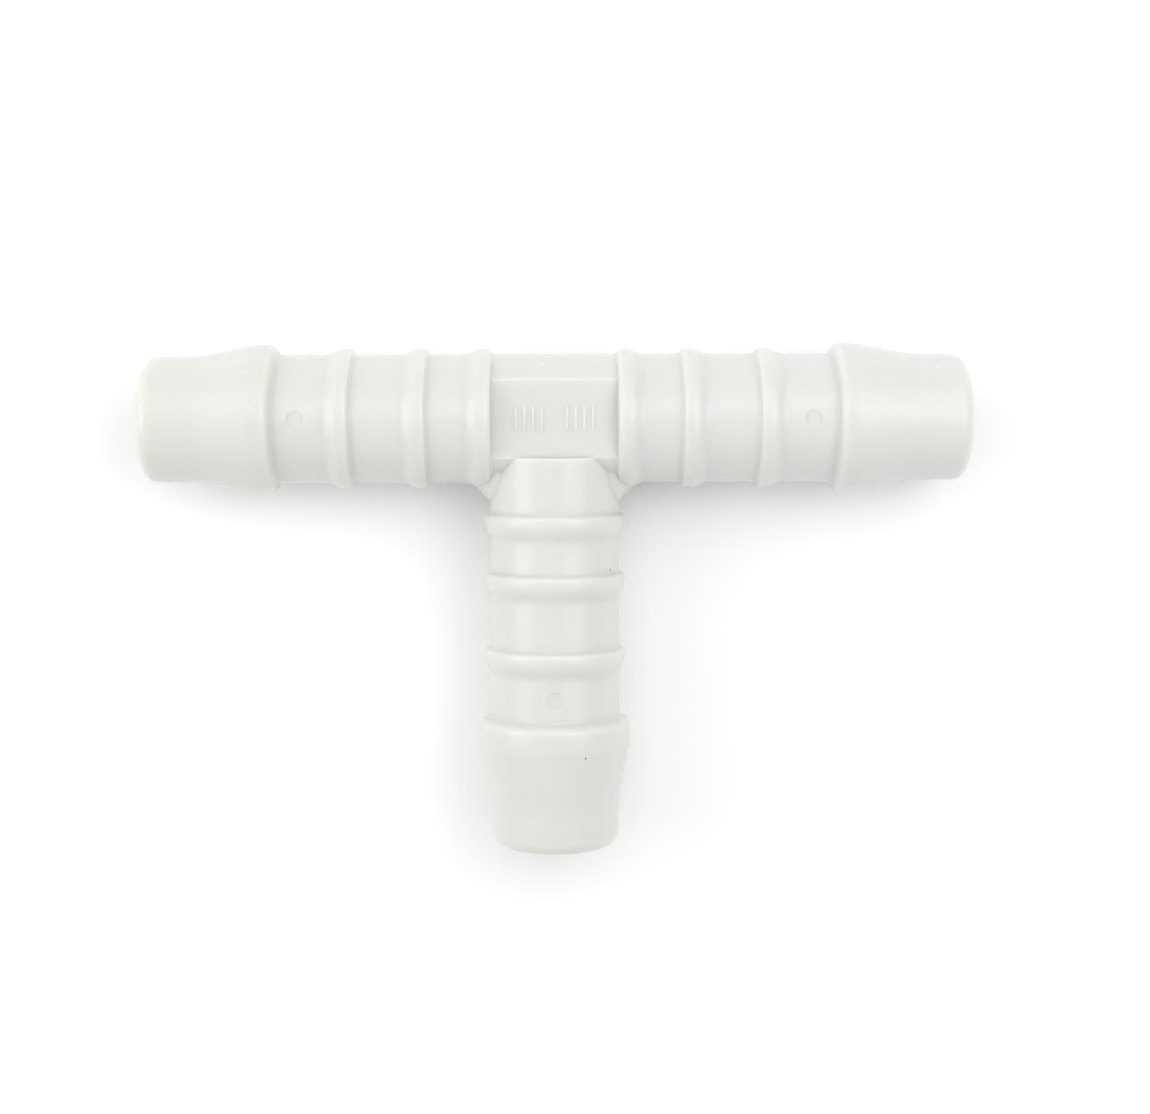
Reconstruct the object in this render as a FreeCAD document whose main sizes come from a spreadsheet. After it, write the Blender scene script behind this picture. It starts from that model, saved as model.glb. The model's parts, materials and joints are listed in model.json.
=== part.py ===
import FreeCAD, Part
import Sketcher

import os
import re

# Barbed tee connector for hose of 10 mm bore: one moulding with three barbed tails. Two tails lie
# in line along X and make the run, and the branch points to -Y. The origin is where the three
# bore axes cross, and the tee lies flat, so +Z is the upper face of the hub.
#
# The moulding is held as four closed solids that meet face to face: the hub, where the bores
# cross, and a tail at each of its three mouths.

# Driving sizes in millimetres. A tail is measured outwards from the crossing of the axes.
SIZES = {
    # Tube.
    "stem_dia": 10.0,
    "bore_dia": 6.0,
    "mouth_chamfer": 0.35,
    # Hose ribs, and the two collars of the same section beside the flats of the hub.
    "rib_height": 0.45,
    "rib_rise": 0.15,
    "rib_crown": 0.86,
    "rib_slope": 0.86,
    "edge_round": 0.12,
    # End barb: a steep back, a land that the hose grips, a taper and a blunt nose.
    "barb_height": 0.8,
    "nose_drop": 0.05,
    "nose_draft": 0.07,
    "nose_round": 0.95,
    # The two tails of the run.
    "run_reach": 31.85,
    "run_nose": 4.25,
    "run_taper": 4.4,
    "run_land": 1.4,
    "run_back": 0.35,
    "run_inner_rib_share": 0.192,
    "run_outer_rib_share": 0.595,
    "run_mark_share": 0.55,
    # The branch.
    "branch_reach": 33.1,
    "branch_nose": 3.4,
    "branch_taper": 4.55,
    "branch_land": 1.65,
    "branch_back": 0.4,
    "branch_first_gap": 0.37,
    "branch_inner_rib_share": 0.307,
    "branch_outer_rib_share": 0.668,
    "branch_mark_share": 0.49,
    # Round witness marks of the mould's pins, one on top of each tail.
    "mark_dia": 1.28,
    # Hub.
    "collar_inset": 0.14,
    "collar_margin": 0.27,
    "flat_depth": 1.0,
    "facet_turn": 17.9,
    "gusset_leg": 1.46,
    "gusset_dia": 6.0,
    "gusset_overrun": 0.55,
    "gusset_cover": 0.1,
    # Raised tally bars on the upper flat, in two groups.
    "bar_height": 0.08,
    "bar_length": 1.86,
    "bar_width": 0.22,
    "bar_pitch": 0.66,
    "bar_group_offset": 1.95,
}
BARS_IN_GROUP = 4

# Sizes that follow from the driving ones.
DERIVED = {
    "stem_r": "stem_dia / 2",
    "bore_r": "bore_dia / 2",
    "rib_r": "stem_r + rib_height",
    "rib_width": "rib_rise + rib_crown + rib_slope",
    "barb_r": "stem_r + barb_height",
    "nose_r": "stem_r - nose_drop",
    "tip_r": "nose_r - nose_draft",
    "tip_round": "min(nose_round, 0.9 * (tip_r - bore_r - mouth_chamfer))",
    "collar_at": "stem_r - collar_inset",
    "gusset_length": "sqrt(2) * gusset_leg + 2 * gusset_overrun",
    "gusset_offset": "((stem_dia + gusset_leg) / sqrt(2) - gusset_dia / 2) / sqrt(2)",
    "gusset_shift": "gusset_length / 2 / sqrt(2)",
    "gusset_end": "gusset_offset + gusset_shift + gusset_dia / 2 / sqrt(2)",
    "hub_reach": "max(collar_at + rib_width + collar_margin, gusset_end + gusset_cover)",
    "run_barb_at": "run_reach - run_nose - run_taper - run_land - run_back",
    "run_inner_rib_at": "hub_reach + run_inner_rib_share * (run_barb_at - hub_reach)",
    "run_outer_rib_at": "hub_reach + run_outer_rib_share * (run_barb_at - hub_reach)",
    "branch_barb_at": "branch_reach - branch_nose - branch_taper - branch_land - branch_back",
    "branch_first_rib_at": "hub_reach + branch_first_gap",
    "branch_inner_rib_at": "hub_reach + branch_inner_rib_share * (branch_barb_at - hub_reach)",
    "branch_outer_rib_at": "hub_reach + branch_outer_rib_share * (branch_barb_at - hub_reach)",
    "mark_r": "mark_dia / 2",
    "mark_z": "sqrt(stem_r * stem_r - mark_r * mark_r)",
    "flat_z": "stem_r - flat_depth",
    "flat_half": "sqrt(stem_r * stem_r - flat_z * flat_z)",
    "facet_end": "asin(flat_half / stem_r) + facet_turn * 1deg",
    "facet_y": "stem_r * sin(facet_end)",
    "facet_z": "stem_r * cos(facet_end)",
}

SAME_PLACE = 0.001  # mm within which two places count as one

doc = FreeCAD.newDocument("barbed_tee")
sheet = doc.addObject("Spreadsheet::Sheet", "dims")


def fill_sheet():
    """Writes the driving sizes in column B and the derived ones in column D."""
    for row, (alias, number) in enumerate(SIZES.items(), 1):
        sheet.set(f"A{row}", alias)
        sheet.set(f"B{row}", str(number))
        sheet.setAlias(f"B{row}", alias)
    for row, (alias, formula) in enumerate(DERIVED.items(), 1):
        sheet.set(f"C{row}", alias)
        sheet.set(f"D{row}", "=" + formula)
        sheet.setAlias(f"D{row}", alias)
    doc.recompute()


def in_sheet(formula):
    """The same formula with each alias named as a cell of the sheet."""

    def cell(word):
        known = word[0] in SIZES or word[0] in DERIVED
        return "dims." + word[0] if known else word[0]

    return re.sub(r"[a-z_]+", cell, formula)


def worked_out(formula):
    """The formula's value as a plain number."""
    value = sheet.evalExpression(in_sheet(formula))
    return float(getattr(value, "Value", value))


def origin_piece(body, role):
    """One of the body's own origin planes or axes."""
    return next(piece for piece in body.Origin.OriginFeatures if piece.Role == role)


def new_sketch(body, name, plane, lift=None):
    """A sketch on one of the body's origin planes, lifted along its normal if asked."""
    sketch = body.newObject("Sketcher::SketchObject", f"{body.Label}_{name}_sketch")
    sketch.AttachmentSupport = (origin_piece(body, plane), [""])
    sketch.MapMode = "FlatFace"
    if lift:
        sketch.setExpression("AttachmentOffset.Base.z", in_sheet(lift))
    return sketch


def tie_point(sketch, line, end, across, up):
    """Ties one point of the sketch to a place given by two formulas."""
    for kind, formula in (("DistanceX", across), ("DistanceY", up)):
        rule = Sketcher.Constraint(kind, -1, 1, line, end, worked_out(formula))
        tie = sketch.addConstraint(rule)
        sketch.setExpression(f"Constraints[{tie}]", in_sheet(formula))


def draw_outline(sketch, corners):
    """Draws a closed outline of straight lines through the corners and ties each corner."""
    first = sketch.GeometryCount
    count = len(corners)
    points = [FreeCAD.Vector(worked_out(a), worked_out(b), 0) for a, b in corners]
    for n in range(count):
        sketch.addGeometry(Part.LineSegment(points[n], points[(n + 1) % count]), False)
    for n in range(count):
        joined = Sketcher.Constraint("Coincident", first + n, 2, first + (n + 1) % count, 1)
        sketch.addConstraint(joined)
    for n, (across, up) in enumerate(corners):
        tie_point(sketch, first + n, 1, across, up)


def draw_circle(sketch, across, up, radius):
    """Draws a circle and ties its centre and its radius."""
    centre = FreeCAD.Vector(worked_out(across), worked_out(up), 0)
    upright = FreeCAD.Vector(0, 0, 1)
    circle = sketch.addGeometry(Part.Circle(centre, upright, worked_out(radius)), False)
    tie = sketch.addConstraint(Sketcher.Constraint("Radius", circle, worked_out(radius)))
    sketch.setExpression(f"Constraints[{tie}]", in_sheet(radius))
    tie_point(sketch, circle, 3, across, up)


def revolve(body, name, sketch, axis):
    """Turns the sketch once round one of the body's origin axes."""
    turned = body.newObject("PartDesign::Revolution", f"{body.Label}_{name}")
    turned.Profile = sketch
    turned.ReferenceAxis = (origin_piece(body, axis), [""])
    turned.Angle = 360
    doc.recompute()
    return turned


def pad(body, name, sketch, length):
    """Raises the sketch along its normal."""
    raised = body.newObject("PartDesign::Pad", f"{body.Label}_{name}")
    raised.Profile = sketch
    raised.setExpression("Length", in_sheet(length))
    doc.recompute()
    return raised


def pocket(body, name, sketch, length, both_ways=False):
    """Cuts the sketch along its normal, or as far to both sides of it, and proves the cut."""
    before = body.Shape.Volume
    cut = body.newObject("PartDesign::Pocket", f"{body.Label}_{name}")
    cut.Profile = sketch
    cut.Reversed = not both_ways
    cut.SideType = "Symmetric" if both_ways else "One side"
    cut.setExpression("Length", in_sheet(length))
    doc.recompute()
    if body.Shape.Volume > before - SAME_PLACE:
        raise RuntimeError(f"{cut.Name} removed nothing")
    return cut


def round_rings(body, name, axis, rings, radius):
    """Rounds the circular edges at the given (place along the axis, radius) pairs."""
    base = body.Tip
    wanted = [(worked_out(place), worked_out(ring_r)) for place, ring_r in rings]
    edges = []
    for number, edge in enumerate(base.Shape.Edges, 1):
        if not isinstance(edge.Curve, Part.Circle):
            continue
        place = getattr(edge.Curve.Center, axis)
        for along, ring_r in wanted:
            if max(abs(place - along), abs(edge.Curve.Radius - ring_r)) < SAME_PLACE:
                edges.append(f"Edge{number}")
    if len(edges) != len(rings):
        raise RuntimeError(f"{name} found {len(edges)} edges of {len(rings)}")
    fillet = body.newObject("PartDesign::Fillet", f"{body.Label}_{name}")
    fillet.Base = (base, edges)
    fillet.setExpression("Radius", in_sheet(radius))
    doc.recompute()
    return fillet


def rib_outline(at):
    """The section of a rib whose steep side is at the given distance from the crossing."""
    return [
        (at, "stem_r"),
        (f"{at} + rib_rise", "rib_r"),
        (f"{at} + rib_rise + rib_crown", "rib_r"),
        (f"{at} + rib_width", "stem_r"),
    ]


def barb_outline(kind):
    """The section of an end barb, from its steep back to the blunt nose."""
    back = f"{kind}_barb_at + {kind}_back"
    return [
        (f"{kind}_barb_at", "stem_r"),
        (back, "barb_r"),
        (f"{back} + {kind}_land", "barb_r"),
        (f"{kind}_reach - {kind}_nose", "nose_r"),
        (f"{kind}_reach", "tip_r"),
    ]


def make_tail(label, kind, ribs, placed, axis, sign):
    """A barbed tail. The function placed turns (along, out) into a place in the sketch."""
    body = doc.addObject("PartDesign::Body", label)
    body.Label = label
    section = [("hub_reach", "bore_r"), ("hub_reach", "stem_r")]
    crests = []
    for at in ribs:
        section += rib_outline(at)
        crests += rib_outline(at)[1:3]
    # The two edges of the barb's land stay crisp, because they are what bites into the hose.
    section += barb_outline(kind)
    section.append((f"{kind}_reach", "bore_r + mouth_chamfer"))
    section.append((f"{kind}_reach - mouth_chamfer", "bore_r"))

    sketch = new_sketch(body, "section", "XY_Plane")
    draw_outline(sketch, [placed(along, out) for along, out in section])
    revolve(body, "turned", sketch, axis.upper() + "_Axis")
    crest_rings = [(f"{sign}({along})", out) for along, out in crests]
    round_rings(body, "crests", axis, crest_rings, "edge_round")
    round_rings(body, "nose", axis, [(f"{sign}({kind}_reach)", "tip_r")], "tip_round")

    rib_end = f"{ribs[-1]} + rib_width"
    room = f"({kind}_barb_at - {rib_end} - mark_dia)"
    mark_at = f"{rib_end} + mark_r + {kind}_mark_share * {room}"
    mark = new_sketch(body, "mark", "XY_Plane", lift="mark_z")
    draw_circle(mark, *placed(mark_at, "0"), "mark_r")
    pocket(body, "mark", mark, "flat_depth")
    return body


def make_hub():
    """The hub: the crossing of the bores, with its collars, flats, facets and gussets."""
    body = doc.addObject("PartDesign::Body", "tee_hub")
    body.Label = "tee_hub"

    # The run between the two mouths, with a collar beside each mouth.
    collar = rib_outline("collar_at")
    far_side = [(f"-({along})", out) for along, out in reversed(collar)]
    ends = [("hub_reach", "stem_r"), ("hub_reach", "0"), ("-hub_reach", "0")]
    run = new_sketch(body, "run", "XY_Plane")
    draw_outline(run, far_side + collar + ends + [("-hub_reach", "stem_r")])
    revolve(body, "run", run, "X_Axis")

    # The branch, as far as its own mouth.
    branch = new_sketch(body, "branch", "XZ_Plane")
    draw_circle(branch, "0", "0", "stem_r")
    pad(body, "branch", branch, "hub_reach")

    # Flats above and below, which stop at the collars and at a step up to the branch, and a
    # facet along the far edge of each.
    flats = new_sketch(body, "flats", "YZ_Plane")
    for sign in ("", "-"):
        level = f"{sign}flat_z"
        clear = f"{sign}2 * rib_r"
        facet = [("facet_y", f"{sign}facet_z"), ("2 * rib_r", f"{sign}facet_z")]
        flat = [("-flat_half", level), ("flat_half", level)]
        draw_outline(flats, flat + facet + [("2 * rib_r", clear), ("-flat_half", clear)])
    pocket(body, "flats", flats, "2 * collar_at", both_ways=True)

    # A gusset across each crotch: a short round bar at 45 degrees with its ends in the tubes.
    for side, sign in (("left", "-"), ("right", "")):
        gusset = body.newObject("PartDesign::AdditiveCylinder", f"tee_hub_{side}_gusset")
        lean = FreeCAD.Vector(-1 if sign else 1, 1, 0)
        turn = FreeCAD.Rotation(FreeCAD.Vector(0, 0, 1), lean)
        gusset.AttachmentOffset = FreeCAD.Placement(FreeCAD.Vector(), turn)
        gusset.AttachmentSupport = (origin_piece(body, "XY_Plane"), [""])
        gusset.MapMode = "FlatFace"
        start_x = f"{sign}(gusset_offset - gusset_shift)"
        gusset.setExpression("AttachmentOffset.Base.x", in_sheet(start_x))
        start_y = "-(gusset_offset + gusset_shift)"
        gusset.setExpression("AttachmentOffset.Base.y", in_sheet(start_y))
        gusset.setExpression("Radius", in_sheet("gusset_dia / 2"))
        gusset.setExpression("Height", in_sheet("gusset_length"))
        doc.recompute()

    # The bores.
    through = new_sketch(body, "run_bore", "YZ_Plane")
    draw_circle(through, "0", "0", "bore_r")
    pocket(body, "run_bore", through, "4 * hub_reach", both_ways=True)
    blind = new_sketch(body, "branch_bore", "XZ_Plane")
    draw_circle(blind, "0", "0", "bore_r")
    pocket(body, "branch_bore", blind, "2 * hub_reach")

    # Raised tally bars on the upper flat.
    bars = new_sketch(body, "bars", "XY_Plane", lift="flat_z")
    for group in ("-bar_group_offset", "bar_group_offset"):
        for n in range(BARS_IN_GROUP):
            middle = f"{group} + bar_pitch * {n - (BARS_IN_GROUP - 1) / 2}"
            near = f"{middle} - bar_width / 2"
            far = f"{middle} + bar_width / 2"
            low = "-bar_length / 2"
            high = "bar_length / 2"
            draw_outline(bars, [(near, low), (far, low), (far, high), (near, high)])
    pad(body, "bars", bars, "bar_height")
    return body


def check_document():
    """Stops if any object failed to compute."""
    for item in doc.Objects:
        if {"Invalid", "Error"} & set(item.State):
            raise RuntimeError(f"{item.Name} is {item.State}")


def write_solids(bodies):
    """Checks each sub-part's solid and writes it under its label."""
    os.makedirs("parts", exist_ok=True)
    for body in bodies:
        shape = body.Shape
        if shape.isNull() or not shape.isValid() or len(shape.Solids) != 1:
            raise RuntimeError(f"{body.Label} isn't one valid solid")
    for body in bodies:
        body.Shape.exportStep(f"parts/{body.Label}.step")
        box = body.Shape.BoundBox
        print(f"{body.Label}: {body.Shape.Volume:.1f} mm3, {box}")


fill_sheet()
run_ribs = ["run_inner_rib_at", "run_outer_rib_at"]
branch_ribs = ["branch_first_rib_at", "branch_inner_rib_at", "branch_outer_rib_at"]
sub_parts = [
    make_hub(),
    make_tail("left_tail", "run", run_ribs, lambda along, out: (f"-({along})", out), "x", "-"),
    make_tail("right_tail", "run", run_ribs, lambda along, out: (along, out), "x", ""),
    make_tail("branch_tail", "branch", branch_ribs, lambda along, out: (out, f"-({along})"), "y", "-"),
]
doc.recompute()
check_document()
write_solids(sub_parts)
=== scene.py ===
# %% [markdown]
# # A barbed tee connector
#
# A tee like this joins three flexible hoses in a watering system. It is a single injection
# moulding of uncoloured plastic: hot plastic is forced into a steel mould, and three pins, which
# are pulled out along the tubes afterwards, leave the bores.
#
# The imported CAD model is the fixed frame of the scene. It is loaded first, and the sizes that its
# mounts and boxes state are read from it, so that what is modelled here lands where the design
# says.

# %% Load the frame
import json
import math

import bmesh
import bpy
from mathutils import Matrix, Vector


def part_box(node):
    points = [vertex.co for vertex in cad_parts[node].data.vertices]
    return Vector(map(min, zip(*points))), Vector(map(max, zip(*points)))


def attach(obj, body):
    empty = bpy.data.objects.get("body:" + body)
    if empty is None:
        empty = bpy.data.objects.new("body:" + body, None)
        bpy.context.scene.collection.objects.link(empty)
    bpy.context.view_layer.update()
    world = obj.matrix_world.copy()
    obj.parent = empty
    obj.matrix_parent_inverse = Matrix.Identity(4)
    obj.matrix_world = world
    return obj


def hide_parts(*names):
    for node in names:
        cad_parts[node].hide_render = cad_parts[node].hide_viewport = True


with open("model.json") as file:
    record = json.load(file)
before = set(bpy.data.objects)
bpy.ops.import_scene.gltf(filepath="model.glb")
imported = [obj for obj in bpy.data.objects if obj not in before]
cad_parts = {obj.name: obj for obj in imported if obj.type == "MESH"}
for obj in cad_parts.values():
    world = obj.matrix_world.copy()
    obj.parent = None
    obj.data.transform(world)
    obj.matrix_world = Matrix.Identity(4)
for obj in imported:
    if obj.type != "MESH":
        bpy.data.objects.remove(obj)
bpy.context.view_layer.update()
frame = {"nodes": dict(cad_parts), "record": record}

print("CAD nodes:", ", ".join(sorted(frame["nodes"])))

# %% [markdown]
# ## Sizes
#
# The frame is in metres, but booleans lose accuracy on a shape whose details are a few hundred
# thousandths of a unit. So the tee is modelled in millimetres, and the finished mesh is scaled
# down once. The radii of the bore, the ribs and the barbs come from the frame, and so do the
# reaches. The other sizes aren't stated there, so they are named below. Places along a tube are
# measured outwards from the crossing of the axes.

# %% Sizes that the frame holds
MM = 0.001
record = frame["record"]
mounts = {mount["name"]: mount for mount in record["mounts"]}

bore_r = mounts["run_bore"]["dims"]["r_mm"]
barb_r = mounts["right_barb"]["dims"]["r_mm"]
rib_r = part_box("tee_hub")[1].z / MM
run_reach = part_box("right_tail")[1].x / MM
branch_reach = -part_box("branch_tail")[0].y / MM
print(f"bore {bore_r:.2f}, rib {rib_r:.2f}, barb {barb_r:.2f} mm in radius")
print(f"reach {run_reach:.2f} mm along the run and {branch_reach:.2f} mm along the branch")

# %% Sizes along the tubes
stem_r = 5.0
nose_r = 4.95
tip_r = 4.88

rib_rise = 0.15
rib_crown = 0.86
rib_slope = 0.86

collar_at = 4.86
run_ribs = [collar_at, 9.77, 15.6]
branch_ribs = [7.37, 11.94, 17.76]

run_barb = {"nose": 4.25, "taper": 4.4, "land": 1.4, "back": 0.35}
branch_barb = {"nose": 3.4, "taper": 4.55, "land": 1.65, "back": 0.4}

# How far the rounding of a corner reaches along its two sides. A little more than a mould's
# own radii, because milky plastic makes its edges look rounder.
CREST = 0.3
ROOT = 0.28
SHOULDER = 0.8
TIP = 0.95
SHARP = 0.0

# %% [markdown]
# ## The tubes
#
# A tube with ribs is a shape for a lathe: draw half its section once and turn it round the axis.
# It could also be a cylinder with loops scaled by hand, but a section keeps each rib's steep
# side, flat crown and long slope as three plain numbers.
#
# The section is a chain of corners. Each corner says how far it is rounded, and a vertex bevel
# on the chain makes those arcs before it is spun, so every ring of the tube is true geometry.

# %% A rib and an end barb as corners
def rib(at):
    """A hose rib: steep side towards the hub, then a flat crown and a long slope."""
    top = at + rib_rise
    return [
        (at, stem_r, ROOT),
        (top, rib_r, CREST),
        (top + rib_crown, rib_r, CREST),
        (top + rib_crown + rib_slope, stem_r, ROOT),
    ]


def barb(reach, sizes):
    """An end barb: steep back, land, taper and a blunt rounded nose."""
    taper_end = reach - sizes["nose"]
    land_end = taper_end - sizes["taper"]
    land_start = land_end - sizes["land"]
    return [
        (land_start - sizes["back"], stem_r, ROOT),
        (land_start, barb_r, CREST),
        (land_end, barb_r, CREST),
        (taper_end, nose_r, SHOULDER),
        (reach, tip_r, TIP),
        (reach, 0.0, SHARP),
    ]


def tail(ribs, reach, sizes):
    """All corners of one side of a tube, from the crossing to the middle of its tip."""
    corners = [corner for at in ribs for corner in rib(at)]
    return corners + barb(reach, sizes)


print("corners along one side of the run:", len(tail(run_ribs, run_reach, run_barb)))

# %% Spin a section into a closed solid
SEGMENTS = 144
ARC_STEPS = 5
WELD = 0.001


def turned(corners):
    """Rounds a chain of (along, out, rounding) corners and spins it round the X axis."""
    mesh = bmesh.new()
    points = [mesh.verts.new((along, out, 0.0)) for along, out, rounding in corners]
    for here, there in zip(points, points[1:]):
        mesh.edges.new((here, there))
    for size in sorted({rounding for along, out, rounding in corners if rounding}):
        same = [point for point, corner in zip(points, corners) if corner[2] == size]
        bmesh.ops.bevel(mesh, geom=same, offset=size, offset_type="OFFSET", affect="VERTICES",
                        segments=ARC_STEPS, profile=0.5, material=-1)
    bmesh.ops.spin(mesh, geom=mesh.verts[:] + mesh.edges[:], cent=(0, 0, 0), axis=(1, 0, 0),
                   angle=2 * math.pi, steps=SEGMENTS, use_merge=True, use_duplicate=False)
    bmesh.ops.remove_doubles(mesh, verts=mesh.verts, dist=WELD)
    bmesh.ops.recalc_face_normals(mesh, faces=mesh.faces)
    return mesh


def as_object(name, mesh):
    """Puts a bmesh into the scene as an object at the origin."""
    data = bpy.data.meshes.new(name)
    mesh.to_mesh(data)
    mesh.free()
    made = bpy.data.objects.new(name, data)
    bpy.context.scene.collection.objects.link(made)
    return made


# %% The run
right_half = tail(run_ribs, run_reach, run_barb)
left_half = [(-along, out, rounding) for along, out, rounding in reversed(right_half)]
moulding = as_object("tee_moulding", turned(left_half + right_half))
print("run:", len(moulding.data.polygons), "faces")

# %% The branch
TO_BRANCH = Matrix.Rotation(math.radians(-90), 4, "Z")

branch_section = [(0.0, 0.0, SHARP), (0.0, stem_r, SHARP)]
branch_section += tail(branch_ribs, branch_reach, branch_barb)
branch_mesh = turned(branch_section)
bmesh.ops.transform(branch_mesh, matrix=TO_BRANCH, verts=branch_mesh.verts)
branch = as_object("branch", branch_mesh)
print("branch:", len(branch.data.polygons), "faces")

# %% [markdown]
# ## Joining and cutting
#
# Where two round tubes meet, the seam is a curve that no simple operator draws, so the tubes are
# joined with an exact boolean. The two tubes have the same number of segments, turned to the
# same start, so their facets meet corner to corner along the mitre.

# %% A helper for booleans
def open_edges(data):
    """How many edges of a mesh don't have exactly two faces: none on a closed solid."""
    mesh = bmesh.new()
    mesh.from_mesh(data)
    count = sum(len(edge.link_faces) != 2 for edge in mesh.edges)
    mesh.free()
    return count


def combine(base, tool, operation):
    """Joins the tool to the base, or cuts it away, and removes the tool."""
    step = base.modifiers.new(operation, "BOOLEAN")
    step.operation = operation
    step.solver = "EXACT"
    step.object = tool
    depsgraph = bpy.context.evaluated_depsgraph_get()
    result = bpy.data.meshes.new_from_object(base.evaluated_get(depsgraph))
    base.modifiers.clear()
    before = base.data
    base.data = result
    bpy.data.meshes.remove(before)
    bpy.data.objects.remove(tool)
    print(f"{operation.lower()}: {len(result.polygons)} faces, {open_edges(result)} open edges")


combine(moulding, branch, "UNION")

# %% [markdown]
# ## The gussets
#
# Each crotch between branch and run is filled by a short round bar at 45 degrees. It stops the
# tee from cracking when a hose is pushed on at an angle. Only the outer edge of the bar shows,
# as a slanted corner, because the rest of it lies inside the tubes.

# %% Two bars across the crotches
gusset_r = 3.0
gusset_leg = 1.46
gusset_length = 3.16
gusset_segments = 96

gusset_out = (2 * stem_r + gusset_leg) / math.sqrt(2) - gusset_r

for side in (-1, 1):
    bar = bmesh.new()
    bmesh.ops.create_cone(bar, cap_ends=True, segments=gusset_segments, radius1=gusset_r,
                          radius2=gusset_r, depth=gusset_length)
    lean = Vector((side, 1, 0)).to_track_quat("Z", "Y").to_matrix().to_4x4()
    outward = Vector((side, -1, 0)).normalized() * gusset_out
    bmesh.ops.transform(bar, matrix=Matrix.Translation(outward) @ lean, verts=bar.verts)
    combine(moulding, as_object("gusset", bar), "UNION")
print(f"gussets: {gusset_leg} mm off the crotches")

# %% [markdown]
# ## The flats of the hub
#
# Between its collars the hub is cut flat above and below, which gives the mould a plane to carry
# the size mark, with a facet along the far edge. The cut stops at the branch with a low step.
#
# The cutter is a bar of that section. Its own edges are bevelled first, so that the cut leaves
# a small fillet at the foot of each wall, as a milled mould does.

# %% Cut the flats
flat_z = 4.0
flat_half = math.sqrt(stem_r**2 - flat_z**2)
facet_y = 4.084
facet_z = math.sqrt(stem_r**2 - facet_y**2)

# The fillet at the foot of a wall, and how far a cutter stands clear of the tubes.
FOOT = 0.14
CLEAR = 8.0

for side in (-1, 1):
    cutter = bmesh.new()
    section = [
        (-flat_half, flat_z), (flat_half, flat_z), (facet_y, facet_z),
        (CLEAR, facet_z), (CLEAR, CLEAR), (-flat_half, CLEAR),
    ]
    face = cutter.faces.new([cutter.verts.new((-collar_at, y, side * z)) for y, z in section])
    grown = bmesh.ops.extrude_face_region(cutter, geom=[face])
    moved = [item for item in grown["geom"] if isinstance(item, bmesh.types.BMVert)]
    bmesh.ops.translate(cutter, vec=(2 * collar_at, 0, 0), verts=moved)
    bmesh.ops.recalc_face_normals(cutter, faces=cutter.faces)
    inner = [edge for edge in cutter.edges
             if abs(edge.verts[0].co.x - edge.verts[1].co.x) < WELD
             and all(abs(corner.co.z) < flat_z + WELD for corner in edge.verts)
             and all(corner.co.y < CLEAR - WELD for corner in edge.verts)]
    bmesh.ops.bevel(cutter, geom=inner, offset=FOOT, offset_type="OFFSET", affect="EDGES",
                    segments=3, profile=0.5, material=-1)
    combine(moulding, as_object("flat_cutter", cutter), "DIFFERENCE")

# %% [markdown]
# ## The bores
#
# Three core pins leave the bores, which meet in the middle of the hub. The cutters are spun from
# a section too, flared at the ends, so that each mouth gets its small lead-in.

# %% Cut the bores
mouth = 0.35
beyond = 1.5


def bore_mouth(reach):
    """The corners of a bore's cutter from its wall to outside the tube."""
    return [
        (reach - mouth, bore_r, ROOT),
        (reach + beyond, bore_r + mouth + beyond, SHARP),
        (reach + beyond, 0.0, SHARP),
    ]


right_bore = bore_mouth(run_reach)
left_bore = [(-along, out, rounding) for along, out, rounding in reversed(right_bore)]
combine(moulding, as_object("run_bore", turned(left_bore + right_bore)), "DIFFERENCE")

branch_core = turned([(0.0, 0.0, SHARP), (0.0, bore_r, SHARP)] + bore_mouth(branch_reach))
bmesh.ops.transform(branch_core, matrix=TO_BRANCH, verts=branch_core.verts)
combine(moulding, as_object("branch_bore", branch_core), "DIFFERENCE")

# %% [markdown]
# ## Small marks
#
# Two things show that this is a moulded part. Round witness marks on top of the tails are where
# pins pushed the tee out of its mould. On the flat, where such a fitting carries its size, there
# are plain tally bars, which stand only a little above the surface.

# %% Witness marks of the ejector pins
mark_r = 0.64
mark_depth = 0.03
mark_segments = 50
mark_floor = math.sqrt(stem_r**2 - mark_r**2) - mark_depth

run_mark = 19.6
branch_mark = 21.34

pins = bmesh.new()
for mark_x, mark_y in ((-run_mark, 0.0), (run_mark, 0.0), (0.0, -branch_mark)):
    middle = Matrix.Translation((mark_x, mark_y, mark_floor + CLEAR / 2))
    bmesh.ops.create_cone(pins, cap_ends=True, segments=mark_segments, radius1=mark_r,
                          radius2=mark_r, depth=CLEAR, matrix=middle)
combine(moulding, as_object("ejector_pins", pins), "DIFFERENCE")

# %% Tally bars on the upper flat
bar_height = 0.08
bar_length = 1.86
bar_width = 0.22
bar_pitch = 0.66
bars_in_group = 4
bar_round = 0.05
group_offset = 1.95
sunk = 0.1

bars = bmesh.new()
for group in (-group_offset, group_offset):
    for n in range(bars_in_group):
        bar_x = group + (n - (bars_in_group - 1) / 2) * bar_pitch
        stretch = Matrix.Diagonal((bar_width, bar_length, bar_height + sunk, 1.0))
        middle = Matrix.Translation((bar_x, 0.0, flat_z + (bar_height - sunk) / 2))
        bmesh.ops.create_cube(bars, size=1.0, matrix=middle @ stretch)
upper = [edge for edge in bars.edges if min(v.co.z for v in edge.verts) > flat_z]
bmesh.ops.bevel(bars, geom=upper, offset=bar_round, offset_type="OFFSET", affect="EDGES",
                segments=2, profile=0.5, material=-1)
combine(moulding, as_object("tally_bars", bars), "UNION")

# %% [markdown]
# ## Finishing the mesh
#
# Booleans leave slivers along their seams. Welding points that fall together removes them, and
# weighted normals let the large faces set the shading, so that curved walls stay smooth right up
# to an edge. Edges that turn by more than a set angle stay crisp.

# %% Weld, shade and attach to the frame
crisp_angle = 35

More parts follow.
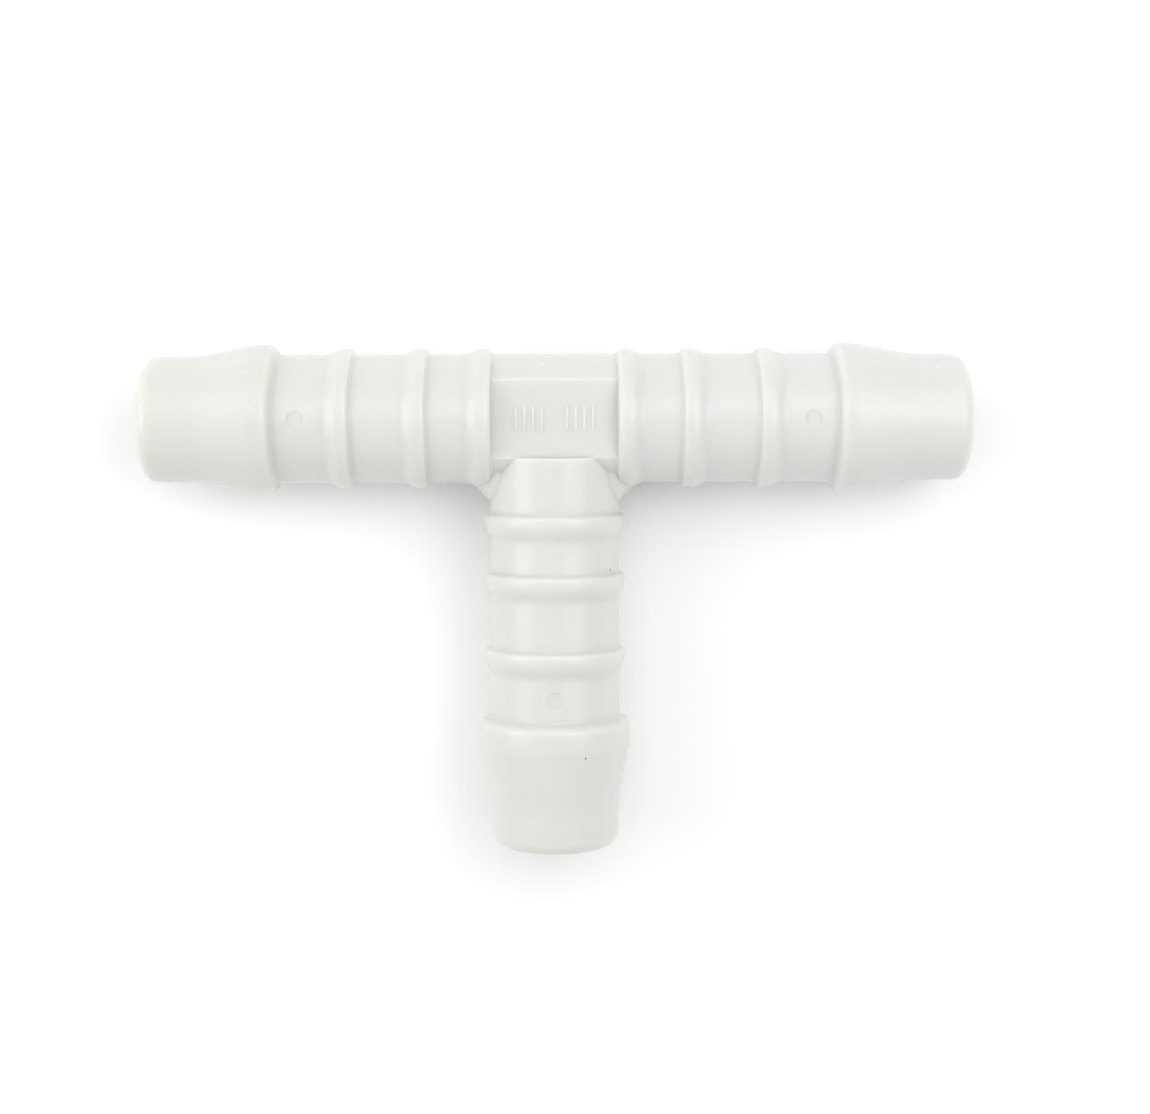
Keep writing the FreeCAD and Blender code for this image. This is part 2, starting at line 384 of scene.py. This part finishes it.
tidy = bmesh.new()
tidy.from_mesh(moulding.data)
bmesh.ops.remove_doubles(tidy, verts=tidy.verts, dist=2 * WELD)
bmesh.ops.dissolve_degenerate(tidy, edges=tidy.edges, dist=WELD)
bmesh.ops.recalc_face_normals(tidy, faces=tidy.faces)
triangles = sum(len(face.verts) - 2 for face in tidy.faces)
bmesh.ops.scale(tidy, vec=(MM, MM, MM), verts=tidy.verts)
tidy.to_mesh(moulding.data)
tidy.free()
moulding.data.shade_smooth()
moulding.data.set_sharp_from_angle(angle=math.radians(crisp_angle))
weighted = moulding.modifiers.new("weighted_normals", "WEIGHTED_NORMAL")
weighted.keep_sharp = True

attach(moulding, "root")
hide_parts("tee_hub", "left_tail", "right_tail", "branch_tail")
print(f"moulding: {triangles} triangles, {open_edges(moulding.data)} open edges")

# %% [markdown]
# ## Shader maths as Python
#
# A material is a graph of nodes, which soon gets hard to read. The small class below wraps the
# output of a node, so that + - and * on it add the Math nodes that they stand for.

# %% A class for sockets and a method for nodes
class Link:
    """The output of a node, with arithmetic that adds Math nodes."""

    def __init__(self, tree, socket):
        self.tree = tree
        self.socket = socket

    def maths(self, operation, *values):
        return add_node(self.tree, "ShaderNodeMath", {"operation": operation}, *values)

    def __add__(self, other):
        return self.maths("ADD", self, other)

    def __sub__(self, other):
        return self.maths("SUBTRACT", self, other)

    def __rsub__(self, other):
        return self.maths("SUBTRACT", other, self)

    def __mul__(self, other):
        return self.maths("MULTIPLY", self, other)

    __radd__ = __add__
    __rmul__ = __mul__


def add_node(tree, kind, settings, *inputs, output=0, **named):
    """Adds a node, makes its settings, then sets or links its inputs by place or by name."""
    node = tree.nodes.new(kind)
    for name, value in settings.items():
        setattr(node, name, value)
    by_name = [(key.replace("_", " "), value) for key, value in named.items()]
    for key, value in list(enumerate(inputs)) + by_name:
        if isinstance(value, Link):
            tree.links.new(value.socket, node.inputs[key])
        else:
            node.inputs[key].default_value = value
    return Link(tree, node.outputs[output])


# %% [markdown]
# ## The plastic
#
# Uncoloured plastic of this kind is milky: light goes in, scatters and comes out again a little
# way off, which softens every shadow on the tee. That is subsurface scattering. The surface has
# a satin sheen, because the steel mould is finely ground and not polished.
#
# The tint isn't even. It goes from a warmer white at the left end to a cooler one at the right.
# That is painted light: the warmer light that falls on the left end is put into the colour. There
# are also soft clouds in it, which vary at random. A few dark specks are burnt grains that came
# along with the melt.

# %% Where on the tee a point is
plastic = bpy.data.materials.new("natural_plastic")
plastic.use_nodes = True
graph = plastic.node_tree
graph.nodes.clear()

place = add_node(graph, "ShaderNodeTexCoord", {}, output="Object")
x = add_node(graph, "ShaderNodeSeparateXYZ", {}, place, output="X")
y = add_node(graph, "ShaderNodeSeparateXYZ", {}, place, output="Y")
z = add_node(graph, "ShaderNodeSeparateXYZ", {}, place, output="Z")


def noise(size, detail):
    """Noise whose blotches are about as wide as a size in millimetres."""
    return add_node(graph, "ShaderNodeTexNoise", {},
                    Vector=place, Scale=1.0 / (size * MM), Detail=detail)


def ramp(value, low, high):
    """Rises smoothly from 0 to 1 while a value goes from low to high."""
    return add_node(graph, "ShaderNodeMapRange", {"interpolation_type": "SMOOTHSTEP"},
                    value, low, high)


# %% Tint and specks
# The colour at the left and right ends. The difference between them is painted light, a warmer
# light on the left end, and not a change in the plastic.
LEFT_WARM_LIGHT_TINT = (0.700, 0.705, 0.665, 1.0)
RIGHT_NEUTRAL_LIGHT_TINT = (0.704, 0.706, 0.686, 1.0)
SPECK = (0.10, 0.08, 0.05, 1.0)
speck_spacing = 3.2
speck_r = 0.09
cloud_size = 7.0
cloud_strength = 0.8

clouds = (noise(cloud_size, 2.0) - 0.5) * cloud_strength
# The ramp along the run paints the warmer light of the left end into the colour. The clouds add
# tone that varies at random.
painted_light_ramp_and_clouds = ramp(x, -run_reach * MM, run_reach * MM) + clouds
grains = add_node(graph, "ShaderNodeTexVoronoi", {},
                  Vector=place, Scale=1.0 / (speck_spacing * MM))
speck = 1.0 - ramp(grains * speck_spacing, 0.5 * speck_r, speck_r)


def blend(factor, first, second):
    """Mixes two colours."""
    return add_node(graph, "ShaderNodeMix", {"data_type": "RGBA"}, factor,
                    output=2, A=first, B=second)


tint = blend(speck, blend(painted_light_ramp_and_clouds, LEFT_WARM_LIGHT_TINT, RIGHT_NEUTRAL_LIGHT_TINT), SPECK)
print("specks:", speck_spacing, "mm apart,", 2 * speck_r, "mm across")

# %% Surface: satin grain and the parting line
grain_size = 0.25
grain_height = 0.004
grain = noise(grain_size, 3.0)

satin = 0.25
satin_change = 0.10
satin_patch = 2.5
polish = satin + (noise(satin_patch, 3.0) - 0.5) * satin_change

seam_width = 0.05
seam_height = 0.02
fade = 0.1
wall_middle = (bore_r + stem_r) / 2
behind = add_node(graph, "ShaderNodeMath", {"operation": "MAXIMUM"}, y, 0.0)


def reach_of(*parts):
    """The length of a vector that is given by its parts."""
    squares = [part * part for part in parts]
    return add_node(graph, "ShaderNodeMath", {"operation": "SQRT"}, sum(squares[1:], squares[0]))


from_run = reach_of(y, z)
from_branch = reach_of(x, behind, z)
outside = add_node(graph, "ShaderNodeMath", {"operation": "MINIMUM"}, from_run, from_branch)
outside = ramp(outside, (wall_middle - fade) * MM, (wall_middle + fade) * MM)
off_plane = add_node(graph, "ShaderNodeMath", {"operation": "ABSOLUTE"}, z)
seam = (1.0 - ramp(off_plane, 0.0, seam_width * MM)) * outside

relief = grain * grain_height + seam * seam_height
bump = add_node(graph, "ShaderNodeBump", {}, Strength=1.0, Distance=MM, Height=relief)
print(f"parting line: {seam_height} mm high, {2 * seam_width} mm wide")

# %% Natural plastic
scatter_depth = 0.8

shader = graph.nodes.new("ShaderNodeBsdfPrincipled")
shader.inputs["IOR"].default_value = 1.49
shader.inputs["Subsurface Weight"].default_value = 1.0
shader.inputs["Subsurface Radius"].default_value = (1.0, 0.95, 0.8)
shader.inputs["Subsurface Scale"].default_value = scatter_depth * MM
graph.links.new(tint.socket, shader.inputs["Base Color"])
graph.links.new(polish.socket, shader.inputs["Roughness"])
graph.links.new(bump.socket, shader.inputs["Normal"])
out = graph.nodes.new("ShaderNodeOutputMaterial")
graph.links.new(shader.outputs["BSDF"], out.inputs["Surface"])
moulding.data.materials.clear()
moulding.data.materials.append(plastic)
print("plastic:", len(graph.nodes), "nodes")

# %% [markdown]
# ## Table, light and camera
#
# The tee lies on its barbs on a white table. Small white parts need soft, even light, so there is
# a large softbox at each side, with a brighter core, as a lamp behind cloth has. Their reflections
# are the long soft highlights on the branch. A third box stands almost overhead, a little to the
# far side, and a dim low one further back, so the shadow falls on the near side. A dim white
# surrounding fills the rest.

# %% The table
table_albedo = 0.95

table_mesh = bmesh.new()
bmesh.ops.create_grid(table_mesh, x_segments=1, y_segments=1, size=1.0)
bmesh.ops.translate(table_mesh, vec=(0, 0, -barb_r * MM), verts=table_mesh.verts)
table = as_object("table", table_mesh)
table_white = bpy.data.materials.new("table_white")
table_white.use_nodes = True
table_shader = table_white.node_tree.nodes["Principled BSDF"]
table_shader.inputs["Base Color"].default_value = (table_albedo,) * 3 + (1.0,)
table_shader.inputs["Roughness"].default_value = 0.9
table_shader.inputs["Specular IOR Level"].default_value = 0.0
table.data.materials.append(table_white)
print(f"table: {barb_r:.2f} mm below the axes")


# %% Softboxes
def softbox(name, centre, spread, distance, radiance):
    """A rectangular light that faces the tee.

    Its centre and spread are angles in degrees, first across the run, then towards its far side.
    """
    width, height = [2 * distance * math.tan(math.radians(angle / 2)) for angle in spread]
    data = bpy.data.lights.new(name, "AREA")
    data.shape = "RECTANGLE"
    data.size = width
    data.size_y = height
    data.energy = math.pi * width * height * radiance
    lamp = bpy.data.objects.new(name, data)
    bpy.context.scene.collection.objects.link(lamp)
    tilt_x, tilt_y = [math.radians(angle) for angle in centre]
    way = Vector((math.tan(tilt_x), math.tan(tilt_y), 1.0)).normalized()
    lamp.location = way * distance
    lamp.rotation_mode = "QUATERNION"
    lamp.rotation_quaternion = way.to_track_quat("Z", "Y")
    lamp.visible_camera = False
    print(f"{name}: {width / MM:.0f} x {height / MM:.0f} mm, {data.energy:.2f} W")


softbox("left_box", (-52, 12), (56, 36), 0.22, 0.9)
softbox("left_core", (-63, 12), (30, 36), 0.21, 1.5)
softbox("right_box", (32, 12), (59, 36), 0.22, 1.1)
softbox("right_core", (35, 12), (22, 36), 0.21, 1.5)
softbox("far_box", (-8, 17), (30, 27), 0.22, 1.25)
softbox("far_low", (0, 42), (70, 20), 0.22, 0.45)

# %% The white surrounding
surround_strength = 0.66

world = bpy.data.worlds.new("studio")
world.use_nodes = True
surround = world.node_tree.nodes["Background"]
surround.inputs["Color"].default_value = (1, 1, 1, 1)
surround.inputs["Strength"].default_value = surround_strength
bpy.context.scene.world = world
print("surrounding:", surround_strength)

# %% [markdown]
# The camera looks straight down. Its lens is worked out from its height and from the width that
# it has to take in at the height of the axes.

# %% Camera
camera_height = 143.0 * MM
view_width = 89.84 * MM
camera_roll = -0.2

lens = bpy.data.cameras.new("camera")
lens.sensor_width = 36.0
lens.lens = lens.sensor_width * camera_height / view_width
lens.clip_start = 1.0 * MM
lens.shift_x = 0.018
lens.shift_y = -0.134
camera = bpy.data.objects.new("camera", lens)
camera.location = (0, 1.2 * MM, camera_height)
camera.rotation_euler.z = math.radians(camera_roll)
bpy.context.scene.collection.objects.link(camera)
bpy.context.scene.camera = camera
bpy.context.scene.view_settings.view_transform = "Standard"
print(f"camera: {lens.lens:.1f} mm lens, {camera_height / MM:.0f} mm above the axes")
